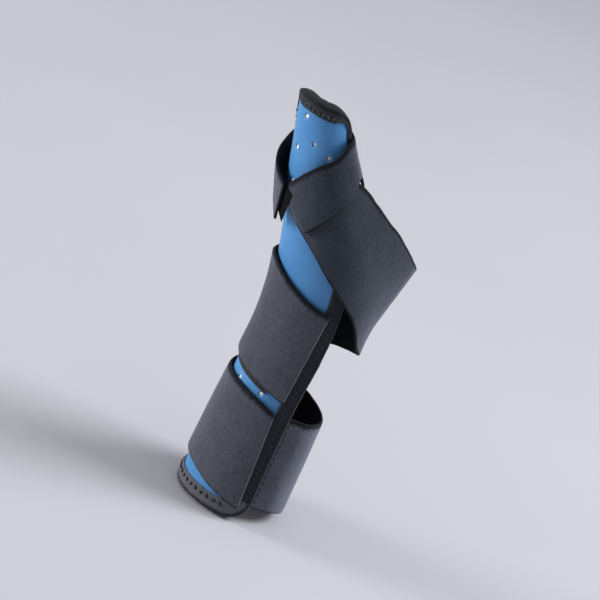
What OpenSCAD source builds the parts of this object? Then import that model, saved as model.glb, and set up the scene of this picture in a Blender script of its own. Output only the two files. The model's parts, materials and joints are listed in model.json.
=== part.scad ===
// Wrist splint: a moulded gutter along the thumb side of forearm, wrist and thumb,
// closed by a forearm strap, a wrist strap that runs on across the palm, and a thumb strap.
// Frame: +Z runs from the forearm opening toward the hand, -X is the thumb side,
// -Y is the palm side. Angles run round the limb: 0 = palm side, 90 = thumb side,
// 180 = back of the hand, -90 = little finger side.

/* [Fit] */
// Girth of the limb the splint goes round, as a share of the modelled one
limb_girth = 1; // [0.97:0.01:1.03]

/* [Shell layers] */
// Thickness of the moulded shell
shell_t = 2; // [1.6:0.1:2]
// Thickness of the foam pad behind the shell
pad_t = 2.8; // [2.4:0.1:2.8]
// Thickness of the lining against the skin
lining_t = 1.5; // [1:0.1:1.5]
// Gap left between neighbouring layers
layer_gap = 0.1; // [0.05:0.05:0.1]
// Diameter of the ventilation holes in the shell
vent_d = 3; // [2:0.5:4]

/* [Edge binding] */
// Thickness of the binding where it lies flat on the shell
binding_t = 1.2; // [0.8:0.1:1.2]
// Width of the binding on the palm-side edge of the shell
palmar_flange_w = 7; // [5:0.5:7]
// Width of the binding on the back edge of the shell
dorsal_flange_w = 5; // [3:0.5:5]
// Height of the forearm cuff on the outside
cuff_w = 9; // [8:1:12]
// Height of the thumb collar on the outside
collar_w = 7; // [5:0.5:7]
// Corner radius of the forearm end
cuff_corner_r = 13; // [9:1:13]
// Corner radius of the thumb end
collar_corner_r = 10; // [8:1:12]

/* [Straps] */
// Thickness of the strap fabric
strap_t = 1.8; // [1.4:0.1:1.8]
// Thickness of the hook patches
hook_t = 0.7; // [0.5:0.1:0.7]

/* [Stitches] */
// Distance between stitches along the bindings
stitch_pitch = 4; // [3.5:0.5:6]
// Width of one stitch
stitch_w = 0.9; // [0.7:0.1:1]

/* [Hidden] */

splint_h = 258;
lining_out = lining_t;
pad_in = lining_out + layer_gap;
pad_out = pad_in + pad_t;
shell_in = pad_out + layer_gap;
shell_out = shell_in + shell_t;

// Limb sections: height, centre x, centre y, half width, half depth
LIMB = [
    [-12, 3.6, 0, 28.9, 25.2],
    [0, 3.5, 0, 28.5, 24.5],
    [60, 3, 0, 27, 22.5],
    [108, 1.8, 0, 24.2, 20],
    [135, -0.8, -0.5, 24, 19],
    [160, -6.5, -3, 24.2, 18.5],
    [185, -16, -7, 22.5, 18.5],
    [208, -28, -11.5, 19, 17.5],
    [228, -38.5, -15, 14.5, 15],
    [245, -47, -18, 11, 12],
    [262, -52.5, -20, 9.2, 10.5],
    [280, -56, -22, 8.5, 10]
];
// Hand sections beside the thumb, same columns
HAND = [
    [60, 3, 0, 25, 18],
    [90, 4, 0, 24, 17],
    [120, 6, 0.5, 22.8, 16],
    [150, 10, 1.5, 24.5, 15],
    [180, 14.5, 2.7, 26, 14.5],
    [210, 18, 4, 29, 14.5],
    [250, 20, 4, 32, 14]
];
// Height, angle of the palm-side edge, angle of the back edge, binding width share
EDGES = [
    [-12, -6, 168, 1],
    [0, -6, 168, 1],
    [40, -5, 167, 1],
    [78, -6, 166, 1],
    [110, -12, 165, 1],
    [144, -17, 162, 1],
    [180, -22, 152, 1],
    [208, -30, 138, 0.7],
    [230, -40, 125, 0.38],
    [245, -47, 116, 0.33],
    [258, -49, 111, 0.33],
    [270, -49, 110, 0.33]
];
// Strap paths. Columns: position, then angle and height of the lower edge,
// angle and height of the upper edge (angles counted away from the thumb side
// across the palm), and the distance off the limb.
FOREARM_PATH = [
    [10.2, 10.2, 8, 10.2, 70, 0.8],
    [18, 18, 8, 18, 70, 1.4],
    [32, 32, 8, 32, 69.5, 3.2],
    [60, 60, 5, 60, 68.5, 2],
    [90, 90, 2.5, 90, 68.5, 0.5],
    [120, 120, 4, 120, 70, 0.5],
    [160, 160, 11, 160, 74, 3],
    [180, 180, 14, 180, 76, 8.6],
    [200, 200, 15.5, 200, 77.5, 8.5],
    [235, 235, 17.5, 235, 79, 7.8],
    [270, 270, 19, 270, 79, 7.7],
    [300, 300, 17, 300, 78.5, 7.7],
    [325, 325, 12.5, 325, 76.5, 7.7],
    [353, 356, 8, 350.5, 72.5, 8.3]
];
WRIST_PATH = [
    [-80, -60, 184, -80, 200, 7.7],
    [-55, -47, 176, -57, 211, 7.9],
    [-25, -25, 163, -37, 224, 8.7],
    [-3, -3, 153.5, -10, 213.9, 8.8],
    [25, 28, 141, 20, 204.5, 8.9],
    [45, 43, 131.5, 43, 198.6, 8.7],
    [65, 58, 121.5, 66, 189.4, 8.1],
    [95, 95, 112, 95, 174.5, 6.7],
    [180, 180, 98, 180, 158, 8.6],
    [255, 255, 91, 255, 155.5, 8.2],
    [275, 270, 89.5, 275, 157, 7.8],
    [305, 312, 85, 305, 148.5, 7.7],
    [335, 336, 82, 335, 142.5, 7.7],
    [357, 353, 80, 359, 140.5, 8.4]
];
THUMB_PATH = [
    [-58, -33, 183, -70, 199, 10.1],
    [-40, -15, 193.5, -50, 210.5, 10.2],
    [-15, 9, 207, -21, 224.5, 10.8],
    [8, 26, 216, 8, 234.5, 11.2],
    [34, 40, 226, 34, 245, 11.4],
    [55, 56, 223.5, 53, 246, 7.3],
    [70, 71, 217, 69, 246, 3.9],
    [90, 90, 215, 90, 245, 2.7],
    [150, 150, 215, 150, 241, 3],
    [190, 190, 206, 190, 235, 6.5],
    [220, 220, 196, 218, 229, 9.8],
    [245, 248, 188, 243, 220, 11.6],
    [268, 274, 186, 266, 213, 12.6],
    [290, 285, 177, 303, 204, 12.7],
    [298, 291, 173.5, 311, 202, 12.6]
];

// Smooth interpolation between the rows of a table, returning columns 1 onward
function row_at(t, x, i = 0) =
    i < len(t) - 2 && x > t[i + 1][0] ? row_at(t, x, i + 1) : i;
function slope(t, k, j) =
    let (lo = max(k - 1, 0), hi = min(k + 1, len(t) - 1))
    (t[hi][j] - t[lo][j]) / (t[hi][0] - t[lo][0]);
function smooth_row(t, x0) =
    let (
        x = min(max(x0, t[0][0]), t[len(t) - 1][0]),
        i = row_at(t, x),
        h = t[i + 1][0] - t[i][0],
        s = (x - t[i][0]) / h,
        c0 = 2 * pow(s, 3) - 3 * pow(s, 2) + 1,
        c1 = (pow(s, 3) - 2 * pow(s, 2) + s) * h,
        c2 = 3 * pow(s, 2) - 2 * pow(s, 3),
        c3 = (pow(s, 3) - pow(s, 2)) * h
    )
    [for (j = [1:len(t[0]) - 1])
        c0 * t[i][j] + c1 * slope(t, i, j) + c2 * t[i + 1][j] + c3 * slope(t, i + 1, j)];

// Point on the limb column, pushed out by off
function limb_pt(z, ang, off) =
    let (c = smooth_row(LIMB, z))
    [
        c[0] - (c[2] * limb_girth + off) * sin(ang),
        c[1] - (c[3] * limb_girth + off) * cos(ang),
        z
    ];

// Point on the taut wrapping round limb column and hand, seen from a fixed centre line
WRAP_CENTRE = [2, -2];
WRAP_BLEND = 1.2;
function reach(c, nx, ny, off) =
    (c[0] - WRAP_CENTRE[0]) * nx + (c[1] - WRAP_CENTRE[1]) * ny
    + norm([(c[2] * limb_girth + off) * nx, (c[3] * limb_girth + off) * ny]);
function wrap_pt(z, ang, off, hand_off) =
    let (
        c = smooth_row(LIMB, z),
        h = smooth_row(HAND, z),
        r = min([for (k = [-75:5:75])
            let (
                nx = -sin(ang + k),
                ny = -cos(ang + k),
                h1 = reach(c, nx, ny, off),
                h2 = reach(h, nx, ny, hand_off),
                m = max(h1, h2) + WRAP_BLEND * ln(1 + exp(-abs(h1 - h2) / WRAP_BLEND))
            )
            m / cos(k)])
    )
    [WRAP_CENTRE[0] - r * sin(ang), WRAP_CENTRE[1] - r * cos(ang), z];

// Closed solid between two matching grids of points
function grid_faces(n, m, o = 0) =
    let (q = n * m)
    concat(
        [for (i = [0:n - 2], j = [0:m - 2], k = [0, 1])
            let (a = o + i * m + j)
            k == 0 ? [a, a + 1, a + m + 1] : [a, a + m + 1, a + m]],
        [for (i = [0:n - 2], j = [0:m - 2], k = [0, 1])
            let (a = o + q + i * m + j)
            k == 0 ? [a, a + m + 1, a + 1] : [a, a + m, a + m + 1]],
        [for (j = [0:m - 2], k = [0, 1])
            let (a = o + j)
            k == 0 ? [a, a + q + 1, a + 1] : [a, a + q, a + q + 1]],
        [for (j = [0:m - 2], k = [0, 1])
            let (a = o + (n - 1) * m + j)
            k == 0 ? [a, a + 1, a + q + 1] : [a, a + q + 1, a + q]],
        [for (i = [0:n - 2], k = [0, 1])
            let (a = o + i * m)
            k == 0 ? [a, a + m, a + q + m] : [a, a + q + m, a + q]],
        [for (i = [0:n - 2], k = [0, 1])
            let (a = o + i * m + m - 1)
            k == 0 ? [a, a + q + m, a + m] : [a, a + q, a + q + m]]
    );
function flat_list(g) = [for (row = g) for (p = row) p];
module between(outer, inner) {
    n = len(outer);
    m = len(outer[0]);
    polyhedron(points = concat(flat_list(outer), flat_list(inner)), faces = grid_faces(n, m));
}

// Millimetres along the girth for one degree, at a height
function mm_per_deg(z) =
    let (c = smooth_row(LIMB, z))
    ((c[2] + c[3]) / 2 * limb_girth + 4) * PI / 180;

// Shell outline: distance of a column from its edge sets how far the corner is rounded off
function corner_cut(d, r) = d >= r ? 0 : r - sqrt(max(0, r * r - (r - d) * (r - d)));
EDGE_STEPS = [0, 1.2, 3.2, 6, 9.5, 13];
MID_STEPS = 9;
COLUMNS = concat(
    [for (d = EDGE_STEPS) [0, d]],
    [for (k = [1:MID_STEPS]) [1, k / (MID_STEPS + 1)]],
    [for (k = [len(EDGE_STEPS) - 1:-1:0]) [2, EDGE_STEPS[k]]]
);
function column_angle(c, z) =
    let (
        e = smooth_row(EDGES, z),
        k = mm_per_deg(z),
        d = EDGE_STEPS[len(EDGE_STEPS) - 1] / k
    )
    c[0] == 0 ? e[0] + c[1] / k :
    c[0] == 2 ? e[1] - c[1] / k :
    e[0] + d + (e[1] - e[0] - 2 * d) * c[1];
function column_edge_mm(c) = c[0] == 1 ? 99 : c[1];
ROWS = 22;
function layer_grid(off) =
    [for (i = [0:ROWS])
        [for (c = COLUMNS)
            let (
                lo = corner_cut(column_edge_mm(c), cuff_corner_r),
                hi = splint_h - corner_cut(column_edge_mm(c), collar_corner_r),
                z = lo + (hi - lo) * i / ROWS
            )
            limb_pt(z, column_angle(c, z), off)]];
module layer(off_in, off_out) {
    between(layer_grid(off_out), layer_grid(off_in));
}

// Ventilation holes: angle and height
VENTS = concat(
    [for (z = [18.5:20:118.5], a = [32:34.6:137]) [a, z]],
    [[51, 247], [67, 226.5], [2, 231], [30, 234.5], [68, 206.5], [96, 212], [92, 236]]
);
module vent(v) {
    p = limb_pt(v[1], v[0], shell_in - 2);
    translate(p)
        rotate([0, 90, -90 - v[0]])
            cylinder(h = shell_t + 4, d = vent_d, $fn = 24);
}

// Binding profile: pairs of [distance beyond the edge, distance off the limb]
function binding_outer(w) = [
    [-w, shell_out + 0.15 + binding_t * 0.8],
    [-w * 0.5, shell_out + 0.15 + binding_t],
    [-0.6, shell_out + 0.25 + binding_t],
    [1.2, shell_out + 0.2],
    [1.9, shell_out / 2],
    [1.2, -0.5],
    [-0.6, -0.2 - binding_t],
    [-4, -0.2 - binding_t]
];
function binding_inner(w) = [
    [-w, shell_out + 0.15],
    [-w * 0.5, shell_out + 0.15],
    [-0.2, shell_out + 0.15],
    [0.25, shell_out + 0.05],
    [0.3, shell_out / 2],
    [0.25, 0],
    [-0.2, -0.2],
    [-4, -0.2]
];

// Binding along a long edge, side 0 = palm side, side 1 = back
LONG_LO = cuff_corner_r + 0.4;
LONG_HI = splint_h - collar_corner_r - 0.4;
LONG_ROWS = 20;
function long_z(i) = LONG_LO + (LONG_HI - LONG_LO) * i / LONG_ROWS;
function long_pt(side, z, s, off) =
    let (e = smooth_row(EDGES, z), k = mm_per_deg(z))
    limb_pt(z, side == 0 ? e[0] - s / k : e[1] + s / k, off);
function long_width(side, z) =
    side == 0 ? palmar_flange_w * smooth_row(EDGES, z)[2] : dorsal_flange_w * smooth_row(EDGES, z)[2];
module long_binding(side) {
    outer = [for (i = [0:LONG_ROWS])
        [for (q = binding_outer(long_width(side, long_z(i)))) long_pt(side, long_z(i), q[0], q[1])]];
    inner = [for (i = [0:LONG_ROWS])
        [for (q = binding_inner(long_width(side, long_z(i)))) long_pt(side, long_z(i), q[0], q[1])]];
    if (side == 0)
        between(inner, outer);
    else
        between(outer, inner);
}

// End bindings run round both corners. A path point is
// [side it is measured from, distance from that edge, height above the end, outward x, outward z]
CORNER_STEPS = 6;
END_STEPS = 12;
function end_path(r) = concat(
    [for (k = [0:CORNER_STEPS])
        let (t = 90 * k / CORNER_STEPS)
        [0, r - r * cos(t), r - r * sin(t), -cos(t), -sin(t)]],
    [for (k = [1:END_STEPS]) [1, k / (END_STEPS + 1), 0, 0, -1]],
    [for (k = [CORNER_STEPS:-1:0])
        let (t = 90 * k / CORNER_STEPS)
        [2, r - r * cos(t), r - r * sin(t), -cos(t), -sin(t)]]
);
function end_pt(top, r, q, s, off) =
    let (
        h = q[2] + s * q[4],
        z = top ? splint_h - h : h,
        e = smooth_row(EDGES, z),
        k = mm_per_deg(z),
        d = r / k,
        ang = q[0] == 0 ? e[0] + (q[1] + s * q[3]) / k :
              q[0] == 2 ? e[1] - (q[1] + s * q[3]) / k :
              e[0] + d + (e[1] - e[0] - 2 * d) * q[1]
    )
    limb_pt(z, ang, off);
// Flange depth grows from that of the long edge binding to the full height of the end binding
function end_width(top, q, r, w) =
    let (side = q[0] == 2 ? 1 : 0, start = long_width(side, top ? LONG_HI : LONG_LO))
    q[0] == 1 ? w : start + (w - start) * min(1, q[1] / r);
module end_binding(top, r, w) {
    path = end_path(r);
    outer = [for (q = path) [for (p = binding_outer(end_width(top, q, r, w))) end_pt(top, r, q, p[0], p[1])]];
    inner = [for (q = path) [for (p = binding_inner(end_width(top, q, r, w))) end_pt(top, r, q, p[0], p[1])]];
    if (top)
        between(inner, outer);
    else
        between(outer, inner);
}

// Strap ribbon between two positions of a path; lift moves it off the limb
function strap_pt(path, hand, pos, s, lift) =
    let (
        r = smooth_row(path, pos),
        ang = -(r[0] + (r[2] - r[0]) * s),
        z = r[1] + (r[3] - r[1]) * s
    )
    hand ? wrap_pt(z, ang, r[4] + lift, 2 + lift) : limb_pt(z, ang, r[4] + lift);
module strap(path, hand, p0, p1, steps, across = 6, lo = 0, hi = 1, in = 0, out = strap_t) {
    outer = [for (i = [0:steps])
        [for (j = [0:across])
            strap_pt(path, hand, p0 + (p1 - p0) * i / steps, lo + (hi - lo) * j / across, out)]];
    inner = [for (i = [0:steps])
        [for (j = [0:across])
            strap_pt(path, hand, p0 + (p1 - p0) * i / steps, lo + (hi - lo) * j / across, in)]];
    between(outer, inner);
}

// Rows of small separate stitches; each stitch is a pair of point lists, four corners below and four above
module stitch_set(list) {
    polyhedron(
        points = [for (s = list) for (p = concat(s[0], s[1])) p],
        faces = [for (k = [0:len(list) - 1]) for (f = grid_faces(2, 2, k * 8)) f]
    );
}
STITCH_LIFT = 0.2;
STITCH_H = 0.15;
// Gap between a strap and the hook patch under it
HOOK_GAP = 0.2;
function edge_stitch(side, z, w, lift) =
    let (half = stitch_w / 2)
    [for (dz = [-half, half]) for (s = [0, 1])
        long_pt(side, z + dz + (s - 0.5) * 1.2, -w * (0.35 + 0.35 * s),
            shell_out + 0.15 + binding_t + lift)];
module edge_stitches(side) {
    stitch_set([for (z = [LONG_LO + 4:stitch_pitch:LONG_HI - 4])
        let (
            w = long_width(side, z),
            hi_pts = edge_stitch(side, z, w, STITCH_LIFT + STITCH_H),
            lo_pts = edge_stitch(side, z, w, STITCH_LIFT)
        )
        side == 0 ? [lo_pts, hi_pts] : [hi_pts, lo_pts]]);
}
function end_stitch(top, f, w, tilt, lift) =
    let (e = smooth_row(EDGES, top ? splint_h : 0), k = mm_per_deg(top ? splint_h - w : w))
    [for (da = [-stitch_w / 2, stitch_w / 2]) for (s = [0, 1])
        let (
            h = w * (0.52 + 0.3 * s),
            z = top ? splint_h - h : h,
            ang = e[0] + f + (da + (s - 0.5) * tilt) / k
        )
        limb_pt(z, ang, shell_out + 0.15 + binding_t + lift)];
module end_stitches(top, r, w, pitch) {
    e = smooth_row(EDGES, top ? splint_h : 0);
    k = mm_per_deg(top ? splint_h : 0);
    margin = (r + 1) / k;
    step = pitch / k;
    stitch_set([for (n = [0:floor((e[1] - e[0] - 2 * margin) / step)])
        let (
            f = margin + n * step,
            tilt = n % 2 == 0 ? 1.2 : -1.2,
            hi_pts = end_stitch(top, f, w, tilt, STITCH_LIFT + STITCH_H),
            lo_pts = end_stitch(top, f, w, tilt, STITCH_LIFT)
        )
        top ? [lo_pts, hi_pts] : [hi_pts, lo_pts]]);
}
module strap_stitches(path, hand, p0, rows, row_step, lo, hi, count) {
    stitch_set([for (i = [0:rows - 1], n = [0:count - 1])
        let (
            s0 = lo + (hi - lo) * n / count,
            s1 = s0 + (hi - lo) * 0.55 / count,
            a = p0 + i * row_step,
            b = a + 1.2,
            top_pts = [for (p = [a, b]) for (s = [s0, s1])
                strap_pt(path, hand, p, s, strap_t + STITCH_LIFT + STITCH_H)],
            low_pts = [for (p = [a, b]) for (s = [s0, s1])
                strap_pt(path, hand, p, s, strap_t + STITCH_LIFT)]
        )
        [top_pts, low_pts]]);
}

module shell() {
    color([0.24, 0.47, 0.75])
        difference() {
            layer(shell_in, shell_out);
            for (v = VENTS)
                vent(v);
        }
}
module foam_pad() {
    color([0.93, 0.94, 0.95]) layer(pad_in, pad_out);
}
module lining() {
    color([0.08, 0.09, 0.11]) layer(0, lining_out);
}
module thumb_collar() {
    color([0.06, 0.06, 0.08]) end_binding(true, collar_corner_r, collar_w);
}
module proximal_cuff() {
    color([0.06, 0.06, 0.08]) end_binding(false, cuff_corner_r, cuff_w);
}
module palmar_edge_binding() {
    color([0.06, 0.06, 0.08]) long_binding(0);
}
module dorsal_edge_binding() {
    color([0.06, 0.06, 0.08]) long_binding(1);
}
module collar_stitches() {
    color([0.02, 0.02, 0.03]) end_stitches(true, collar_corner_r, collar_w, stitch_pitch * 0.6);
}
module cuff_stitches() {
    color([0.02, 0.02, 0.03]) end_stitches(false, cuff_corner_r, cuff_w, stitch_pitch);
}
module palmar_edge_stitches() {
    color([0.02, 0.02, 0.03]) edge_stitches(0);
}
module dorsal_edge_stitches() {
    color([0.02, 0.02, 0.03]) edge_stitches(1);
}
FOREARM_SEAM = 268;
module forearm_strap() {
    color([0.2, 0.21, 0.26]) strap(FOREARM_PATH, false, FOREARM_PATH[0][0], FOREARM_SEAM, 30);
}
module forearm_strap_flap() {
    color([0.2, 0.21, 0.26]) strap(FOREARM_PATH, false, FOREARM_SEAM + 1.6, 353, 12);
}
module forearm_strap_hook() {
    color([0.1, 0.08, 0.07])
        strap(FOREARM_PATH, false, 296, 342, 7, 4, 0.1, 0.9, -HOOK_GAP - hook_t, -HOOK_GAP);
}
module forearm_strap_root_stitches() {
    color([0.02, 0.02, 0.03]) strap_stitches(FOREARM_PATH, false, 11.8, 1, 4, 0.06, 0.96, 13);
}
WRIST_SEAM = 266;
module palm_wrist_strap() {
    color([0.17, 0.18, 0.23]) strap(WRIST_PATH, true, -80, WRIST_SEAM, 42, 8);
}
module wrist_strap_flap() {
    color([0.2, 0.21, 0.26]) strap(WRIST_PATH, true, WRIST_SEAM + 1.6, 357, 12);
}
module wrist_strap_hook() {
    color([0.1, 0.08, 0.07])
        strap(WRIST_PATH, true, 271, 325, 8, 5, -0.05, 0.6, -HOOK_GAP - hook_t, -HOOK_GAP);
}
module palm_strap_end_hook() {
    color([0.1, 0.08, 0.07])
        strap(WRIST_PATH, true, -76, -50, 6, 6, 0.08, 0.92, -HOOK_GAP - hook_t, -HOOK_GAP);
}
THUMB_SEAM = 246;
module thumb_strap() {
    color([0.17, 0.18, 0.23]) strap(THUMB_PATH, false, -58, THUMB_SEAM, 34, 4);
}
module thumb_strap_tab() {
    color([0.17, 0.18, 0.23]) strap(THUMB_PATH, false, THUMB_SEAM + 2.4, 288, 6, 4);
}
module thumb_strap_hook() {
    color([0.1, 0.08, 0.07])
        strap(THUMB_PATH, false, 268, 297, 6, 4, 0.22, 0.96, -HOOK_GAP - hook_t / 2, -HOOK_GAP);
}

shell();
foam_pad();
lining();
thumb_collar();
proximal_cuff();
palmar_edge_binding();
dorsal_edge_binding();
collar_stitches();
cuff_stitches();
palmar_edge_stitches();
dorsal_edge_stitches();
forearm_strap();
forearm_strap_flap();
forearm_strap_hook();
forearm_strap_root_stitches();
palm_wrist_strap();
wrist_strap_flap();
wrist_strap_hook();
palm_strap_end_hook();
thumb_strap();
thumb_strap_tab();
thumb_strap_hook();
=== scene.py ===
"""Thumb-spica wrist splint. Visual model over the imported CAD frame; lengths in mm until a mesh is made."""
import json
import math
import bmesh
import bpy
import numpy as np
from mathutils import Matrix, Vector


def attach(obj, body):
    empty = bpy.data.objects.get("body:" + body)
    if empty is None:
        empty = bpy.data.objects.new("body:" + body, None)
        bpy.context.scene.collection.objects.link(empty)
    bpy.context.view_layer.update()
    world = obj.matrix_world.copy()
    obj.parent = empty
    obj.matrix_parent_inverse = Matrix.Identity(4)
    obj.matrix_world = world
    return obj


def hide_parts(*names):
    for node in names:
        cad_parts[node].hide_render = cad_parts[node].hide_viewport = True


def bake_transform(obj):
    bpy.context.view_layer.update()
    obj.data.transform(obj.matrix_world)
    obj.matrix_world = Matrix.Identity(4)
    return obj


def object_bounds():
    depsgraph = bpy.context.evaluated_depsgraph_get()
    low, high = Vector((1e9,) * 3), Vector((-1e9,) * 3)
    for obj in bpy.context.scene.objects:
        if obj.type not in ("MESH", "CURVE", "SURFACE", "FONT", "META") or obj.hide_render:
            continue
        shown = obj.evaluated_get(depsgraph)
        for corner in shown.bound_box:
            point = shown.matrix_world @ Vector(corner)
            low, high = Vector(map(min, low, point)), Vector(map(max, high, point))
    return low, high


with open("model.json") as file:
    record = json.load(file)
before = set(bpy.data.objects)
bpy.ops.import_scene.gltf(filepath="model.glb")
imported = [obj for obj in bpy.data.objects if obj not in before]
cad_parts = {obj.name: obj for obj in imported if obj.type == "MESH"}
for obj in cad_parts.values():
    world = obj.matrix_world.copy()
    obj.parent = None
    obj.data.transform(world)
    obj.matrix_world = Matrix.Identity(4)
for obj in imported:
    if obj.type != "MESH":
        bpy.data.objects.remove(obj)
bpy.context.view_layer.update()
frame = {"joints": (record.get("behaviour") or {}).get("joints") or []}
MM = 0.001

# ---- driving tables, the same as the part's ----
# Limb sections: height, centre x and y, half width, half depth.
LIMB = np.array([
    [-12, 3.6, 0, 28.9, 25.2], [0, 3.5, 0, 28.5, 24.5], [60, 3, 0, 27, 22.5], [108, 1.8, 0, 24.2, 20],
    [135, -0.8, -0.5, 24, 19], [160, -6.5, -3, 24.2, 18.5], [185, -16, -7, 22.5, 18.5],
    [208, -28, -11.5, 19, 17.5], [228, -38.5, -15, 14.5, 15], [245, -47, -18, 11, 12],
    [262, -52.5, -20, 9.2, 10.5], [280, -56, -22, 8.5, 10]], float)
# Hand sections under the palm strap, in the same columns.
HAND = np.array([
    [60, 3, 0, 25, 18], [90, 4, 0, 24, 17], [120, 6, 0.5, 22.8, 16], [150, 10, 1.5, 24.5, 15],
    [180, 14.5, 2.7, 26, 14.5], [210, 18, 4, 29, 14.5], [250, 20, 4, 32, 14]], float)
# Gutter edges: height, angle of the palm-side edge, angle of the back edge, share of the tape's full width.
EDGES = np.array([
    [-12, -6, 168, 1], [0, -6, 168, 1], [40, -5, 167, 1], [78, -6, 166, 1], [110, -12, 165, 1],
    [144, -17, 162, 1], [180, -22, 152, 1], [208, -30, 138, 0.7], [230, -40, 125, 0.38],
    [245, -47, 116, 0.33], [258, -49, 111, 0.33], [270, -49, 110, 0.33]], float)
# Strap paths: position, angle and height of the lower edge, then of the upper edge, distance off the limb.
FOREARM_PATH = np.array([
    [7.8, 7.8, 8, 7.8, 70, 0.8], [10.2, 10.2, 8, 10.2, 70, 0.8], [18, 18, 8, 18, 70, 1.4],
    [32, 32, 8, 32, 69.5, 3.2], [60, 60, 5, 60, 68.5, 2], [90, 90, 2.5, 90, 68.5, 0.5],
    [120, 120, 4, 120, 70, 0.5], [160, 160, 11, 160, 74, 3], [180, 180, 14, 180, 76, 8.6],
    [200, 200, 15.5, 200, 77.5, 8.5], [235, 235, 17.5, 235, 79, 7.8], [270, 270, 19, 270, 79, 7.7],
    [300, 300, 17, 300, 78.5, 7.7], [325, 325, 12.5, 325, 76.5, 7.7], [353, 356, 8, 350.5, 72.5, 8.3]], float)
WRIST_PATH = np.array([
    [-80, -60, 184, -80, 200, 7.7], [-55, -47, 176, -57, 211, 7.9], [-25, -25, 163, -37, 224, 8.7],
    [-3, -3, 153.5, -10, 213.9, 8.8], [25, 28, 141, 20, 204.5, 8.9], [45, 43, 131.5, 43, 198.6, 8.7],
    [65, 58, 121.5, 66, 189.4, 8.1], [95, 95, 112, 95, 174.5, 6.7], [180, 180, 98, 180, 158, 8.6],
    [255, 255, 91, 255, 155.5, 8.2], [275, 270, 89.5, 275, 157, 7.8], [305, 312, 85, 305, 148.5, 7.7],
    [335, 336, 82, 335, 142.5, 7.7], [357, 353, 80, 359, 140.5, 8.4]], float)
THUMB_PATH = np.array([
    [-58, -33, 183, -70, 199, 10.1], [-40, -15, 193.5, -50, 210.5, 10.2], [-15, 9, 207, -21, 224.5, 10.8],
    [8, 26, 216, 8, 234.5, 11.2], [34, 40, 226, 34, 245, 11.4], [55, 56, 223.5, 53, 246, 7.3],
    [70, 71, 217, 69, 246, 3.9], [90, 90, 215, 90, 245, 2.7], [150, 150, 215, 150, 241, 3],
    [190, 190, 206, 190, 235, 6.5], [220, 220, 196, 218, 229, 9.8], [245, 248, 188, 243, 220, 11.6],
    [268, 274, 186, 266, 213, 12.6], [290, 285, 177, 303, 204, 12.7],
    [298, 291, 173.5, 311, 202, 12.6]], float)
# Ventilation holes, as angle and height: a grid under the straps, then the ones the photo shows.
VENTS = [(a, z) for z in np.arange(18.5, 119, 20) for a in np.arange(32, 137.1, 34.6)] + [
    (51, 247), (67, 226.5), (2, 231), (30, 234.5), (68, 206.5), (96, 212), (92, 236)]
SHALLOW_VENT = (30, 234.5)
VENT_R = 1.5
HEIGHT = 258.0
LINING_OUT, PAD_IN, PAD_OUT, SHELL_IN, SHELL_OUT = 1.5, 1.6, 4.4, 4.5, 6.5
CUFF_R, COLLAR_R, CUFF_W, COLLAR_W, PALM_W, BACK_W = 13.0, 10.0, 9.0, 7.0, 7.0, 5.0
BINDING_T, STRAP_T, HOOK_T, HOOK_GAP = 1.2, 1.8, 0.7, 0.2
TAPE_TOP = SHELL_OUT + 0.15
STITCH_PITCH = 4.0
COLLAR_PITCH = STITCH_PITCH * 0.6
WRAP_X, WRAP_Y, WRAP_SOFT = 2, -2, 1.2
HAND_OFF = 2


# ---- surface functions ----
def smooth_row(t, x):
    """Cubic interpolation between a table's rows, held at its ends."""
    k, v = t[:, 0], t[:, 1:]
    x = np.clip(np.asarray(x, float), k[0], k[-1])
    i = np.clip(np.searchsorted(k, x, side="left") - 1, 0, len(k) - 2)
    m = np.empty_like(v)
    m[1:-1] = (v[2:] - v[:-2]) / (k[2:] - k[:-2])[:, None]
    m[0] = (v[1] - v[0]) / (k[1] - k[0])
    m[-1] = (v[-1] - v[-2]) / (k[-1] - k[-2])
    h = (k[i + 1] - k[i])[..., None]
    s = (x - k[i])[..., None] / h
    return ((2 * s**3 - 3 * s**2 + 1) * v[i] + (s**3 - 2 * s**2 + s) * h * m[i]
            + (3 * s**2 - 2 * s**3) * v[i + 1] + (s**3 - s**2) * h * m[i + 1])


def limb(z, ang, off):
    """Point on the limb column pushed out by off; angle 0 is the palm side, 90 the thumb side."""
    z, ang, off = np.broadcast_arrays(*(np.asarray(q, float) for q in (z, ang, off)))
    c, a = smooth_row(LIMB, z), np.radians(ang)
    x = c[..., 0] - (c[..., 2] + off) * np.sin(a)
    y = c[..., 1] - (c[..., 3] + off) * np.cos(a)
    return np.stack([x, y, z], -1)


def reach(section, off, nx, ny):
    """How far an oval section pushed out by off reaches along a direction, from the wrapping's middle."""
    return ((section[..., 0] - WRAP_X) * nx + (section[..., 1] - WRAP_Y) * ny
            + np.hypot((section[..., 2] + off) * nx, (section[..., 3] + off) * ny))


def wrapped(z, ang, off, hand_off):
    """Point on the taut wrapping round limb column and hand."""
    z, ang, off, hand_off = np.broadcast_arrays(*(np.asarray(q, float) for q in (z, ang, off, hand_off)))
    c, h, a = smooth_row(LIMB, z), smooth_row(HAND, z), np.radians(ang)
    best = np.full(z.shape, 1e9)
    for k in np.arange(-75, 75.1, 1.5):
        nx, ny = -np.sin(a + math.radians(k)), -np.cos(a + math.radians(k))
        h1, h2 = reach(c, off, nx, ny), reach(h, hand_off, nx, ny)
        top = np.maximum(h1, h2) + WRAP_SOFT * np.log1p(np.exp(-np.abs(h1 - h2) / WRAP_SOFT))
        best = np.minimum(best, top / math.cos(math.radians(k)))
    return np.stack([WRAP_X - best * np.sin(a), WRAP_Y - best * np.cos(a), z], -1)


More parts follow.
